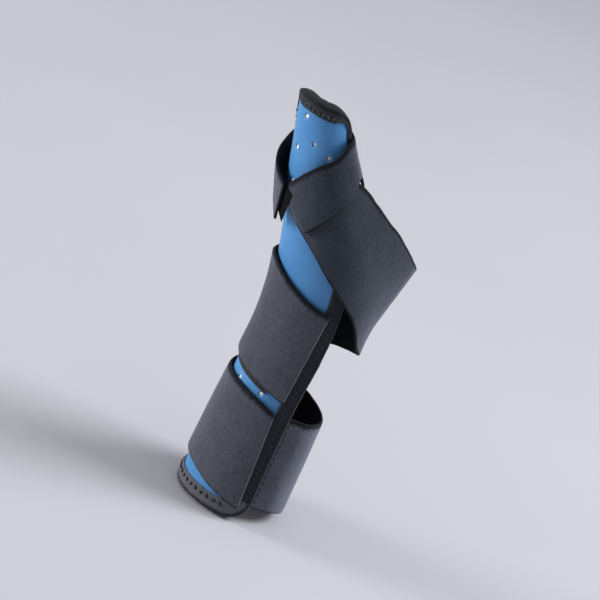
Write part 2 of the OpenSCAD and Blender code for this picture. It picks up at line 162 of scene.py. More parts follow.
def strap_point(path, hand, pos, s, lift):
    """Point of a strap; s runs from 0 at its lower edge to 1 at its upper edge, lift from its inner face."""
    r = smooth_row(path, pos)
    ang = -(r[..., 0] + (r[..., 2] - r[..., 0]) * s)
    z = r[..., 1] + (r[..., 3] - r[..., 1]) * s
    off = r[..., 4] + lift
    return wrapped(z, ang, off, HAND_OFF + lift) if hand else limb(z, ang, off)


def mm_per_deg(z):
    """Length along the shell for one degree round the limb."""
    c = smooth_row(LIMB, z)
    return ((c[..., 2] + c[..., 3]) / 2 + 4) * math.pi / 180


def wavy(x, y, size, seed):
    """Smooth seeded noise from -1 to 1 with features about size mm across."""
    rng = np.random.default_rng(seed)
    total = np.zeros(np.broadcast(x, y).shape)
    for _ in range(7):
        turn, step, phase = rng.uniform(0, math.tau), rng.uniform(0.7, 1.5), rng.uniform(0, math.tau)
        along = x * math.cos(turn) + y * math.sin(turn)
        total = total + np.sin(along * step * math.tau / (2 * size) + phase)
    return total / 4


# ---- mesh making ----
def set_mark(mesh, name, values):
    values = np.asarray(values, np.float32).ravel()
    mesh.attributes.new(name, "FLOAT", "POINT").data.foreach_set("value", values)


def smooth_shade(mesh, sharp):
    mesh.polygons.foreach_set("use_smooth", [True] * len(mesh.polygons))
    mesh.set_sharp_from_angle(angle=math.radians(sharp))


def make(name, verts, faces, material, marks=None, sharp=40):
    """A mesh object from mm points, faces turned outward, smooth shaded except at sharp angles."""
    mesh = bpy.data.meshes.new(name)
    mesh.from_pydata((np.asarray(verts, float) * MM).tolist(), [], [list(map(int, f)) for f in faces])
    for key, values in (marks or {}).items():
        set_mark(mesh, key, values)
    mesh.materials.append(material)
    bm = bmesh.new()
    bm.from_mesh(mesh)
    bmesh.ops.recalc_face_normals(bm, faces=bm.faces)
    bm.to_mesh(mesh)
    bm.free()
    smooth_shade(mesh, sharp)
    obj = bpy.data.objects.new(name, mesh)
    bpy.context.collection.objects.link(obj)
    return obj


def grid_quads(n, m, start=0, loop=False):
    """Faces of a grid of n rows and m columns; loop joins the last column to the first."""
    i, j = np.meshgrid(np.arange(n - 1), np.arange(m if loop else m - 1), indexing="ij")
    a, b = i * m + j, i * m + (j + 1) % m
    return np.stack([a, b, b + m, a + m], -1).reshape(-1, 4) + start


def tube_faces(n, m):
    """Faces of n rings of m points, closed at both ends."""
    faces = [list(f) for f in grid_quads(n, m, loop=True)]
    return faces + [list(range(m))[::-1], [(n - 1) * m + k for k in range(m)]]


def between(outer, inner):
    """Points and faces of the closed solid between two matching grids."""
    n, m = outer.shape[:2]
    q = n * m
    faces = [grid_quads(n, m), grid_quads(n, m, q)[:, ::-1]]
    rim = np.concatenate([np.arange(m), np.arange(1, n) * m + m - 1, (n - 1) * m + np.arange(m - 2, -1, -1),
                          np.arange(n - 2, 0, -1) * m])
    nxt = np.roll(rim, -1)
    faces.append(np.stack([nxt, rim, rim + q, nxt + q], -1))
    return np.concatenate([outer.reshape(-1, 3), inner.reshape(-1, 3)]), np.concatenate(faces)


def lathe(rings, sides, origin, axis):
    """Closed turned shape: rings are (distance along axis, radius)."""
    axis = np.asarray(axis, float) / np.linalg.norm(axis)
    u = np.cross(axis, [0, 0, 1.0])
    u /= np.linalg.norm(u)
    v = np.cross(axis, u)
    t = np.arange(sides) * math.tau / sides
    around = np.cos(t)[:, None] * u + np.sin(t)[:, None] * v
    return np.concatenate([origin + axis * d + r * around for d, r in rings]), tube_faces(len(rings), sides)


def joined(parts):
    """Points and faces of several solids as one list each."""
    verts, faces, base = [], [], 0
    for v, f in parts:
        verts.append(np.asarray(v))
        faces += [[int(i) + base for i in q] for q in f]
        base += len(v)
    return np.concatenate(verts), faces


# ---- materials ----
def lin(*levels):
    """Linear colour from three screen levels of 0 to 255."""
    return tuple(((c / 255 + 0.055) / 1.055) ** 2.4 if c > 10 else c / 255 / 12.92 for c in levels) + (1.0,)


class Look:
    """One procedural material; positions are the piece's own, in metres."""

    def __init__(self, name):
        self.material = bpy.data.materials.new(name)
        self.material.use_nodes = True
        self.tree = self.material.node_tree
        self.shader = next(n for n in self.tree.nodes if n.type == "BSDF_PRINCIPLED")
        self.where = self.add("ShaderNodeTexCoord").outputs["Object"]

    def add(self, kind, **values):
        node = self.tree.nodes.new(kind)
        for key, value in values.items():
            setattr(node, key, value)
        return node

    def link(self, a, b):
        self.tree.links.new(a, b)

    def put(self, value, socket):
        """A plain value is set on the socket; anything else is linked to it."""
        if isinstance(value, (tuple, float)):
            socket.default_value = value
        else:
            self.link(value, socket)

    def noise(self, size_mm, detail=2.0, stretch=None):
        node = self.add("ShaderNodeTexNoise")
        node.inputs["Scale"].default_value = 1 / (size_mm * MM)
        node.inputs["Detail"].default_value = detail
        where = self.where
        if stretch:
            mapping = self.add("ShaderNodeMapping")
            mapping.inputs["Scale"].default_value = stretch
            self.link(where, mapping.inputs["Vector"])
            where = mapping.outputs["Vector"]
        self.link(where, node.inputs["Vector"])
        return node.outputs["Fac"]

    def cells(self, size_mm):
        node = self.add("ShaderNodeTexVoronoi", feature="F1")
        node.inputs["Scale"].default_value = 1 / (size_mm * MM)
        self.link(self.where, node.inputs["Vector"])
        return node.outputs["Distance"]

    def bands(self, direction, scale, distortion):
        node = self.add("ShaderNodeTexWave", wave_type="BANDS", bands_direction=direction)
        node.inputs["Scale"].default_value = scale
        node.inputs["Distortion"].default_value = distortion
        self.link(self.where, node.inputs["Vector"])
        return node

    def mark(self, name):
        """A value stored on the mesh's points."""
        return self.add("ShaderNodeAttribute", attribute_name=name).outputs["Fac"]

    def span(self, value, a, b, to_a=0.0, to_b=1.0):
        """The value with the range a to b stretched to the range to_a to to_b."""
        node = self.add("ShaderNodeMapRange")
        for key, number in (("From Min", a), ("From Max", b), ("To Min", to_a), ("To Max", to_b)):
            node.inputs[key].default_value = number
        self.link(value, node.inputs["Value"])
        return node.outputs["Result"]

    def spread(self, noise, to_a=0.0, to_b=1.0):
        """The middle part of a noise, where most of it lies, stretched to the range to_a to to_b."""
        return self.span(noise, 0.3, 0.7, to_a, to_b)

    def mix(self, fac, a, b):
        node = self.add("ShaderNodeMix", data_type="RGBA")
        for key, value in ((0, fac), (6, a), (7, b)):
            self.put(value, node.inputs[key])
        return node.outputs[2]

    def math(self, operation, a, b):
        node = self.add("ShaderNodeMath", operation=operation)
        for key, value in ((0, a), (1, b)):
            self.put(value, node.inputs[key])
        return node.outputs[0]

    def finish(self, colour, height, depth_mm, strength, rough, sheen=0.0, sheen_rough=0.5, tint=(1, 1, 1, 1),
               coat=0.0, specular=0.5):
        self.link(colour, self.shader.inputs["Base Color"])
        bump = self.add("ShaderNodeBump")
        bump.inputs["Strength"].default_value = strength
        bump.inputs["Distance"].default_value = depth_mm * MM
        self.link(height, bump.inputs["Height"])
        self.link(bump.outputs["Normal"], self.shader.inputs["Normal"])
        self.put(rough, self.shader.inputs["Roughness"])
        self.put(sheen, self.shader.inputs["Sheen Weight"])
        self.shader.inputs["Sheen Roughness"].default_value = sheen_rough
        self.shader.inputs["Sheen Tint"].default_value = tint
        self.shader.inputs["Coat Weight"].default_value = coat
        self.shader.inputs["Specular IOR Level"].default_value = specular
        return self.material


def velour(name, dark, light, edge, start=None):
    """Brushed loop fabric. Its near-black edge band is partly the strap's dark cut edge and partly painted
    shadow, and its inner face is painted near-black as painted shade. start is (dark, light, from, to): the
    tones the strap begins with, painted shade where they are darker and painted light where they are paler,
    and the stretch in mm over which they change."""
    look = Look(name)
    fine, grain, patch = look.noise(0.7, 3.0), look.noise(2.2, 2.0), look.noise(14.0, 2.0)
    tone = look.math("ADD", look.spread(fine, 0.0, 0.4), look.spread(grain, 0.0, 0.35))
    tone = look.math("ADD", tone, look.spread(patch, 0.0, 0.25))
    cloth = look.mix(tone, dark, light)
    if start:
        first = look.span(look.mark("run"), start[2], start[3])
        cloth = look.mix(first, look.mix(tone, start[0], start[1]), cloth)
    # The black edge band: partly the dark cut edge, partly painted shadow along it; its sheen is cut below.
    ragged = look.math("ADD", look.mark("edge"), look.spread(grain, -0.3, 0.3))
    colour = look.mix(look.span(ragged, 1.0, 2.4), edge, cloth)
    colour = look.mix(look.span(look.mark("cut"), 0.1, 0.6, 0.6, 0.0), colour, lin(92, 94, 104))
    # Painted shade: the inner face is painted near-black.
    colour = look.mix(look.span(look.mark("inside"), 0.0, 1.0, 0.0, 0.9), colour, edge)
    height = look.math("ADD", fine, look.math("MULTIPLY", grain, 0.6))
    rough = look.spread(fine, 0.82, 0.96)
    sheen = look.math("MULTIPLY", look.span(ragged, 1.0, 2.4, 0.12, 0.55),
                      look.span(look.mark("inside"), 0.0, 1.0, 1.0, 0.07))
    return look.finish(colour, height, 0.35, 0.5, rough, sheen=sheen, sheen_rough=0.42,
                       tint=lin(205, 210, 225), specular=0.2)


def tape(name, flange, rim, sheen=0.25):
    """Folded knit edge tape: a slightly paler flange and a darker rolled rim, ribbed across."""
    look = Look(name)
    fine, grain = look.noise(0.5, 2.0, (1, 1, 2.2)), look.noise(3.0, 2.0)
    ribs = look.bands("DIAGONAL", 420, 1.2)
    ribs.inputs["Detail"].default_value = 1.0
    tone = look.math("ADD", look.spread(fine, -0.12, 0.22), look.mark("flange"))
    tone = look.math("ADD", tone, look.spread(grain, -0.12, 0.12))
    colour = look.mix(look.span(tone, 0.0, 1.0), rim, flange)
    height = look.math("ADD", ribs.outputs["Fac"], look.math("MULTIPLY", fine, 0.8))
    return look.finish(colour, height, 0.22, 0.55, look.spread(fine, 0.74, 0.9), sheen=sheen,
                       sheen_rough=0.4, tint=lin(190, 195, 210), specular=0.3)


def plastic():
    """Moulded blue sheet, with a painted highlight as a paler ring round each of its holes."""
    look = Look("shell_blue")
    peel, broad, dust = look.noise(0.9, 2.0), look.noise(30.0, 2.0), look.noise(3.5, 3.0)
    colour = look.mix(look.spread(broad), lin(66, 123, 177), lin(75, 136, 189))
    colour = look.mix(look.span(dust, 0.55, 0.8, 0.0, 0.3), colour, lin(85, 149, 197))
    # Painted highlight: the paler ring round each vent.
    colour = look.mix(look.span(look.mark("rim"), 0.0, 1.0, 0.0, 0.45), colour, lin(140, 178, 214))
    rough = look.spread(dust, 0.46, 0.58)
    return look.finish(colour, peel, 0.05, 0.3, rough, coat=0.05, specular=0.32)


def foam():
    """White closed-cell foam."""
    look = Look("foam")
    pores, patch = look.cells(0.55), look.noise(4.0, 2.0)
    colour = look.mix(look.span(pores, 0.0, 0.5), lin(214, 218, 224), lin(250, 251, 253))
    colour = look.mix(look.span(patch, 0.35, 0.7, 0.0, 0.2), colour, lin(226, 228, 232))
    return look.finish(colour, pores, 0.12, 0.4, 0.85, specular=0.3)


def knit():
    """Dark knitted lining with a soft nap."""
    look = Look("lining_cloth")
    fine, nap, patch = look.noise(0.6, 3.0, (1, 1, 0.5)), look.noise(2.6, 2.0), look.noise(18.0, 2.0)
    rows = look.bands("Z", 330, 2.0)
    tone = look.math("ADD", look.spread(fine, 0.0, 0.5), look.spread(patch, 0.0, 0.35))
    colour = look.mix(tone, lin(22, 24, 29), lin(52, 55, 63))
    height = look.math("ADD", look.math("MULTIPLY", rows.outputs["Fac"], 0.5), look.math("ADD", fine, nap))
    return look.finish(colour, height, 0.3, 0.5, 0.9, sheen=0.35, sheen_rough=0.45, tint=lin(190, 195, 210),
                       specular=0.2)


def hooks(name, tip, ground, worn, gloss=0.4):
    """Hook tape: raised tips over a darker ground."""
    look = Look(name)
    dots, fine = look.cells(0.9), look.noise(0.5, 2.0)
    colour = look.mix(look.span(dots, 0.15, 0.5), tip, ground)
    colour = look.mix(look.span(fine, 0.35, 0.7, 0.0, 0.35), colour, worn)
    height = look.math("SUBTRACT", 1.0, look.span(dots, 0.05, 0.5))
    return look.finish(colour, height, 0.5, 0.9, look.spread(fine, 0.5, 0.7), specular=gloss)


def yarn(name, dark, light):
    """Twisted sewing thread."""
    look = Look(name)
    twist = look.bands("DIAGONAL", 900, 1.5).outputs["Fac"]
    fluff = look.noise(0.3, 2.0)
    colour = look.mix(look.math("MULTIPLY", twist, look.spread(fluff, 0.6, 1.0)), dark, light)
    return look.finish(colour, twist, 0.08, 0.6, 0.7, sheen=0.2, tint=lin(200, 205, 215), specular=0.3)


def floor_paint():
    look = Look("floor_paint")
    broad, fine = look.noise(300.0, 2.0), look.noise(2.0, 2.0)
    colour = look.mix(look.spread(broad), lin(173, 172.5, 179), lin(176, 175.5, 182))
    return look.finish(colour, fine, 0.05, 0.1, 0.9, specular=0.1)


BLACK = lin(15, 17, 22)
M_SHELL, M_FOAM, M_KNIT = plastic(), foam(), knit()
M_HOOK = hooks("hook_tape", lin(64, 54, 48), lin(22, 18, 18), lin(44, 38, 36))
# The thumb tab's near-black hook tape is partly dark tape of its own, partly painted shadow beside the tab's
# raised end.
M_DARK_HOOK = hooks("dark_hook_tape", lin(14, 13, 15), lin(5, 5, 6), lin(9, 8, 10), gloss=0.08)
# The first pair is the strap velour; the second is the same velour painted darker, a painted shade for the
# palm and thumb straps' fixed runs.
GREY, SHADED_GREY = (lin(50, 53, 62), lin(78, 80, 91)), (lin(34, 39, 48), lin(56, 62, 73))
M_STRAP = velour("strap_velour", *GREY, BLACK)
M_SHADED_VELOUR = velour("velour_painted_shade", *SHADED_GREY, BLACK)
# The flap velour begins in the painted shade of its fixed run and turns to the plain grey.
M_FLAP = velour("flap_velour", *GREY, BLACK, (*SHADED_GREY, 2.0, 34.0))
# Painted light: the forearm strap's first 60 mm, round the ulnar side, are painted paler, fading into the
# plain grey by 110 mm.
M_FOREARM_LIT_START = velour("forearm_velour_painted_light", *GREY, BLACK, (lin(58, 61, 71), lin(90, 92, 104), 60.0, 110.0))
M_EDGE_TAPE = tape("edge_tape", lin(30, 32, 39), lin(14, 15, 20))
# The cuff tape's near-black rolled rim is partly the tape's darker roll, partly painted shade where it turns
# under the bottom edge.
M_CUFF_TAPE = tape("cuff_tape", lin(84, 84, 90), lin(24, 25, 30))
M_COLLAR_TAPE = tape("collar_tape", lin(42, 46, 52), lin(7, 8, 11), sheen=0.08)
M_THREAD = yarn("edge_thread", lin(12, 12, 16), lin(38, 39, 46))
M_COLLAR_THREAD = yarn("collar_thread", lin(58, 60, 64), lin(98, 100, 104))


# ---- the three layers ----
def corner_cut(d, r):
    """How far a corner rounded to radius r is cut back, at distance d from the side."""
    return np.where(d >= r, 0, r - np.sqrt(np.maximum(0, r * r - (r - d) ** 2)))


LINING_GRID = (150, 60)


def layer_angles(rows, columns):
    """Height and angle of every point of a layer; corners rounded as on the part."""
    near = np.array([0, 0.6, 1.2, 2, 3.2, 4.5, 6, 8, 10, 13])
    share = np.linspace(0, 1, columns)[1:-1]
    edge = np.concatenate([near, np.full(len(share), 99.0), near[::-1]])
    lo, hi = corner_cut(edge, CUFF_R), HEIGHT - corner_cut(edge, COLLAR_R)
    z = lo + (hi - lo) * np.linspace(0, 1, rows)[:, None]
    e, k = smooth_row(EDGES, z), mm_per_deg(z)
    low, high = e[..., 0], e[..., 1]
    ang = np.empty_like(z)
    n = len(near)
    ang[:, :n] = low[:, :n] + near / k[:, :n]
    ang[:, -n:] = high[:, -n:] - near[::-1] / k[:, -n:]
    mid = slice(n, -n)
    inset = near[-1] / k[:, mid]
    ang[:, mid] = low[:, mid] + inset + (high[:, mid] - low[:, mid] - 2 * inset) * share
    return z, ang


def layer(name, rows, columns, off_in, off_out, material, ruffle=0.0, seed=0):
    z, ang = layer_angles(rows, columns)
    along = ang * mm_per_deg(z)
    inner_off = off_in + ruffle * (0.5 + 0.5 * wavy(along, z, 9, seed))
    verts, faces = between(limb(z, ang, off_out), limb(z, ang, inner_off))
    return make(name, verts, faces, material)


def flat_size(off):
    """Greatest width and the area, in metres, of the layer laid out flat."""
    z, ang = layer_angles(*LINING_GRID)
    points = limb(z, ang, off) * MM
    across, along = np.diff(points, axis=1)[:-1], np.diff(points, axis=0)[:, :-1]
    width = np.linalg.norm(np.diff(points, axis=1), axis=2).sum(1).max()
    return float(width), float(np.linalg.norm(np.cross(across, along), axis=2).sum())


# Turned outlines of a vent's cutter and of the foam in a vent: distance out from the surface, radius.
VENT_CUT = ((-4.0, VENT_R), (-0.45, VENT_R), (-0.2, 1.58), (0.02, 1.78), (0.8, 2.3))
DOME_FOOT = ((-0.35, 1.1), (-0.3, 1.36))
DOME_TOP = ((0.6, 1.42), (1.1, 1.3), (1.42, 0.98), (1.58, 0.5), (1.62, 0.12))
SHALLOW = 0.3


def vent_axis(ang):
    a = math.radians(ang)
    return np.array([-math.sin(a), -math.cos(a), 0])


def build_shell():
    shell = layer("shell_body", 131, 56, SHELL_IN, SHELL_OUT, M_SHELL)
    cutters = joined([lathe(VENT_CUT, 28, limb(z, ang, SHELL_OUT), vent_axis(ang)) for ang, z in VENTS])
    cutter = make("vent_cutter", *cutters, M_SHELL)
    change = shell.modifiers.new("vents", "BOOLEAN")
    change.operation, change.solver, change.object = "DIFFERENCE", "EXACT", cutter
    final = bpy.data.meshes.new_from_object(shell.evaluated_get(bpy.context.evaluated_depsgraph_get()))
    shell.modifiers.clear()
    shell.data = final
    bpy.data.objects.remove(cutter)
    # Marks the ring round each vent that gets the painted highlight.
    co = np.array([v.co for v in final.vertices]) / MM
    holes = np.array([limb(z, ang, SHELL_OUT) for ang, z in VENTS])
    near = np.min(np.linalg.norm(co[:, None] - holes[None], axis=2), axis=1)
    set_mark(final, "rim", np.clip((2.1 - near) / 0.5, 0, 1))
    smooth_shade(final, 38)
    return shell


def build_foam():
    """The foam, with a dome swelling into each vent."""
    z, ang = layer_angles(90, 34)
    solids = [between(limb(z, ang, PAD_OUT), limb(z, ang, PAD_IN))]
    for vent in VENTS:
        share = SHALLOW if vent == SHALLOW_VENT else 1.0
        outline = DOME_FOOT + tuple((d * share, r) for d, r in DOME_TOP)
        solids.append(lathe(outline, 24, limb(vent[1], vent[0], PAD_OUT), vent_axis(vent[0])))
    return make("foam_layer", *joined(solids), M_FOAM)


def build_lining():
    return layer("inner_lining", *LINING_GRID, 0.0, LINING_OUT, M_KNIT, ruffle=0.3, seed=4)


# ---- bindings ----
def resample(points, count):
    """Smooth curve through points, count samples, ends kept."""
    p = np.asarray(points, float)
    p = np.concatenate([[2 * p[0] - p[1]], p, [2 * p[-1] - p[-2]]])
    t = np.linspace(0, len(p) - 3, count)
    i = np.minimum(t.astype(int), len(p) - 4)
    u = (t - i)[:, None]
    a, b, c, d = p[i], p[i + 1], p[i + 2], p[i + 3]
    return 0.5 * (2 * b + (c - a) * u + (2 * a - 5 * b + 4 * c - d) * u**2 + (3 * b - a - 3 * c + d) * u**3)


def binding_profile(w):
    """Outer and inner face of a tape w wide, as (distance past the edge, distance off the limb)."""
    top, t = TAPE_TOP, BINDING_T
    outer = [(-w, top + 0.1), (-w - 0.05, top + t * 0.5), (-w + 0.4, top + t * 0.86), (-w * 0.72, top + t),
             (-w * 0.5, top + t * 0.98), (-w * 0.26, top + t), (-0.6, top + 0.1 + t), (0.5, top + 0.85),
             (1.25, SHELL_OUT - 0.2), (1.75, SHELL_OUT * 0.68), (1.85, SHELL_OUT * 0.42), (1.55, 0.6),
             (0.9, -0.75), (-0.6, -0.2 - t), (-2.4, -0.25 - t), (-3.7, -0.05 - t), (-4.0, -0.6),
             (-3.95, -0.25)]
    inner = [(-3.2, -0.2), (-1.8, -0.2), (-0.2, -0.2), (0.25, 0), (0.3, SHELL_OUT / 2),
             (0.25, SHELL_OUT + 0.05), (-0.2, top), (-w * 0.5, top)]
    return resample(outer, 46), resample(inner, 14)


def worn_section(q, w, stitch_at, seed, line):
    """The tape's section at station q: pulled in along the seam, more so at a stitch, uneven at its edges."""
    outer, inner = binding_profile(w)
    past, off = outer[:, 0], outer[:, 1]
    on_top = (past < -0.3) & (off > SHELL_OUT)
    gap = np.min(np.abs(stitch_at - q))
    dent = 0.22 + 0.42 * math.exp(-(gap / 0.85) ** 2)
    off = off - np.where(on_top, dent * np.exp(-((past + w * line) / (0.14 * w + 0.35)) ** 2), 0)
    off = off - np.where(on_top & (past > -1.5), 0.1 * (1 + wavy(q, 0.0, 3.0, seed)), 0)
    past = past - np.where(past > 0.6, 0.12 * (1 + wavy(q, 5.0, 4.0, seed + 1)), 0)
    past = past + np.where((past < -w + 0.9) & (off > 3), 0.18 * wavy(q, 9.0, 3.0, seed + 2), 0)
    return np.concatenate([np.stack([past, off], 1), inner])


def binding(name, place, station, widths, stitch_at, material, seed, line=0.52):
    """place(station, past, off) puts a section point; stitch_at are the stations with a stitch, line is where
    the seam runs as a share of the width."""
    sections = [worn_section(q, w, stitch_at, seed, line) for q, w in zip(station, widths)]
    grid = np.array([place(q, part[:, 0], part[:, 1]) for q, part in zip(station, sections)])
    flange = [np.clip((-part[:, 0] - 1.0) / 1.4, 0, 1) * (part[:, 1] > SHELL_OUT) for part in sections]
    marks = {"flange": np.array(flange)}
    return make(name, grid.reshape(-1, 3), tube_faces(*grid.shape[:2]), material, marks, sharp=60)


def long_place(side):
    """Placing function for the tape on a long edge: side 0 is the palm side, 1 the back."""
    def place(z, past, off):
        e, k = smooth_row(EDGES, z), mm_per_deg(z)
        return limb(z, e[0] - past / k if side == 0 else e[1] + past / k, off)
    return place


def edge_stitch_heights():
    return np.arange(CUFF_R + 4.4, HEIGHT - COLLAR_R - 4.39, STITCH_PITCH)


def long_binding(side):
    name, full = ("palmar_edge_tape", PALM_W) if side == 0 else ("dorsal_edge_tape", BACK_W)
    z = np.linspace(CUFF_R + 0.1, HEIGHT - COLLAR_R - 0.1, 320)
    widths = full * smooth_row(EDGES, z)[:, 2]
    return binding(name, long_place(side), z, widths, edge_stitch_heights(), M_EDGE_TAPE, 30 + side)


def end_path(r, top):
    """Lengths round one end: one corner's arc, the straight between the corners, and the whole."""
    z0 = HEIGHT if top else 0.0
    e, k = smooth_row(EDGES, z0), mm_per_deg(z0)
    straight = (e[1] - e[0]) * k - 2 * r
    arc = r * math.pi / 2
    return arc, straight, 2 * arc + straight


def end_place(r, top):
    """Placing function for the tape round an end with corners of radius r."""
    arc, straight, total = end_path(r, top)

    def place(q, past, off):
        if q < arc:
            t, side = q / r, 0
        elif q > arc + straight:
            t, side = (total - q) / r, 2
        else:
            t, side = math.pi / 2, 1
        inward, up, ox, oz = r - r * math.cos(t), r - r * math.sin(t), -math.cos(t), -math.sin(t)
        h = up + past * oz if side != 1 else -past
        z = HEIGHT - h if top else h
        e, k = smooth_row(EDGES, z), mm_per_deg(z)
        low, high = e[..., 0], e[..., 1]
        if side == 0:
            ang = low + (inward + past * ox) / k
        elif side == 2:
            ang = high - (inward + past * ox) / k
        else:
            share = (q - arc) / straight
            ang = low + r / k + (high - low - 2 * r / k) * share
        return limb(z, ang, off)
    return place


def end_stitch_stations(r, top, pitch):
    """Angles in from the palm-side edge, and stations round the end, of the stitches."""
    arc, straight, _ = end_path(r, top)
    z0 = HEIGHT if top else 0.0
    e, k = smooth_row(EDGES, z0), mm_per_deg(z0)
    margin = (r + 1) / k
    count = int((e[1] - e[0] - 2 * margin) / (pitch / k)) + 1
    angles = margin + np.arange(count) * pitch / k
    return angles, arc + (angles * k - r)


def end_binding(top):
    r, w = (COLLAR_R, COLLAR_W) if top else (CUFF_R, CUFF_W)
    arc, straight, total = end_path(r, top)
    q = np.linspace(0.02, total - 0.02, int(total / 0.55))
    far_corner = np.where(q > arc + straight, r - r * np.cos((total - q) / r), r)
    inward = np.where(q < arc, r - r * np.cos(q / r), far_corner)
    ends = smooth_row(EDGES, HEIGHT - r if top else r)[2]
    start = np.where(q < total / 2, PALM_W * ends, BACK_W * ends)
    widths = start + (w - start) * np.minimum(1, inward / r)
    _, stations = end_stitch_stations(r, top, COLLAR_PITCH if top else STITCH_PITCH)
    name, material = ("collar_tape_roll", M_COLLAR_TAPE) if top else ("cuff_tape_roll", M_CUFF_TAPE)
    return binding(name, end_place(r, top), q, widths, stations, material, 50 if top else 60, line=0.67)


# ---- stitches ----
THREAD_SIDES, THREAD_LIFT, ROOT_SEAM, ROOT_STITCHES = 8, 0.032, 12.4, 13


def threads(name, ends, material, radius=0.34):
    """Short sewn threads between pairs of points, each with its outward direction."""
    parts = []
    u = np.array([0.0, 0.08, 0.25, 0.5, 0.75, 0.92, 1.0])
    size = np.array([0.35, 0.8, 1.0, 1.0, 1.0, 0.8, 0.35])
    drop = np.array([-0.42, -0.16, 0.06, 0.12, 0.06, -0.16, -0.42])
    turn = np.arange(THREAD_SIDES) * math.tau / THREAD_SIDES
    for a, b, n in ends:
        along = (b - a) / np.linalg.norm(b - a)
        side = np.cross(n, along)
        side /= np.linalg.norm(side)
        centre = a + (b - a) * u[:, None] + n * (drop[:, None] + THREAD_LIFT)
        ring = np.cos(turn)[:, None] * side + np.sin(turn)[:, None] * np.cross(along, side)
        pts = (centre[:, None] + ring[None] * (size[:, None, None] * radius)).reshape(-1, 3)
        parts.append((pts, tube_faces(len(u), THREAD_SIDES)))
    return make(name, *joined(parts), material)


def lifted(point_at, lift):
    """Two points of one stitch at a lift, and the outward direction between them."""
    low, high = point_at(lift), point_at(lift + 1)
    n = (high - low).mean(0)
    return low[0], low[1], n / np.linalg.norm(n)


def edge_threads(side):
    full, place, ends = (PALM_W if side == 0 else BACK_W), long_place(side), []
    for z in edge_stitch_heights():
        w = full * smooth_row(EDGES, z)[2]

        def at(lift):
            off = TAPE_TOP + BINDING_T + lift
            return np.array([place(z - 0.6, -w * 0.35, off), place(z + 0.6, -w * 0.7, off)])
        ends.append(lifted(at, -0.05))
    return threads("palmar_edge_thread" if side == 0 else "dorsal_edge_thread", ends, M_THREAD)


def end_threads(top):
    r, w = (COLLAR_R, COLLAR_W) if top else (CUFF_R, CUFF_W)
    angles, _ = end_stitch_stations(r, top, COLLAR_PITCH if top else STITCH_PITCH)
    z0 = HEIGHT if top else 0.0
    e, k, ends = smooth_row(EDGES, z0), mm_per_deg(HEIGHT - w if top else w), []
    for n, f in enumerate(angles):
        tilt = 1.2 if n % 2 == 0 else -1.2

        def at(lift):
            off = TAPE_TOP + BINDING_T + lift
            return np.array([limb(HEIGHT - w * h if top else w * h, e[0] + f + s * tilt / k, off)
                             for s, h in ((-0.5, 0.52), (0.5, 0.82))])
        ends.append(lifted(at, -0.02))
    if top:
        return threads("collar_zigzag_thread", ends, M_COLLAR_THREAD, 0.36)
    return threads("cuff_thread", ends, M_THREAD, 0.5)


def root_threads():
    """The seam across the fixed end of the forearm strap."""
    ends = []
    for n in range(ROOT_STITCHES):
        s0 = 0.06 + 0.9 * n / ROOT_STITCHES
        s = np.array([s0, s0 + 0.9 * 0.55 / ROOT_STITCHES])
        ends.append(lifted(lambda lift: strap_point(
            FOREARM_PATH, False, np.full(2, ROOT_SEAM), s, STRAP_T + lift), 0.05))
    return threads("strap_root_thread", ends, M_THREAD, 0.3)


# ---- straps ----
# The rounded edge of a strap: distance in from its side, and how much of its thickness it has there.
INSET = np.array([0, 0.25, 0.6, 1.1, 1.8])
FULLNESS = np.array([0.3, 0.72, 0.92, 0.99, 1.0])
TIP_R, FAR = 1.6, 99.0
NUB, HOOK_RIM = 0.7, 0.9


def lengths(points):
    """Distance run along a line of points."""
    return np.concatenate([[0], np.cumsum(np.linalg.norm(np.diff(points, axis=0), axis=1))])


def evenly(path, hand, p0, p1, step, free0, free1):
    """Positions along a strap a step apart with fine rows at free ends, the distance run at each, and its
    distance from a free end."""
    fine = np.linspace(p0, p1, 600)
    run = lengths(strap_point(path, hand, fine, 0.5, STRAP_T))
    a, b = (INSET if free0 else np.zeros(1)), (run[-1] - INSET[::-1] if free1 else run[-1:])
    middle = np.linspace(a[-1], b[0], max(3, int((b[0] - a[-1]) / step)))[1:-1]
    at = np.concatenate([a, middle, b])
    gap = np.minimum(at if free0 else np.full(len(at), FAR), run[-1] - at if free1 else FAR)
    return np.interp(at, run, fine), at, gap


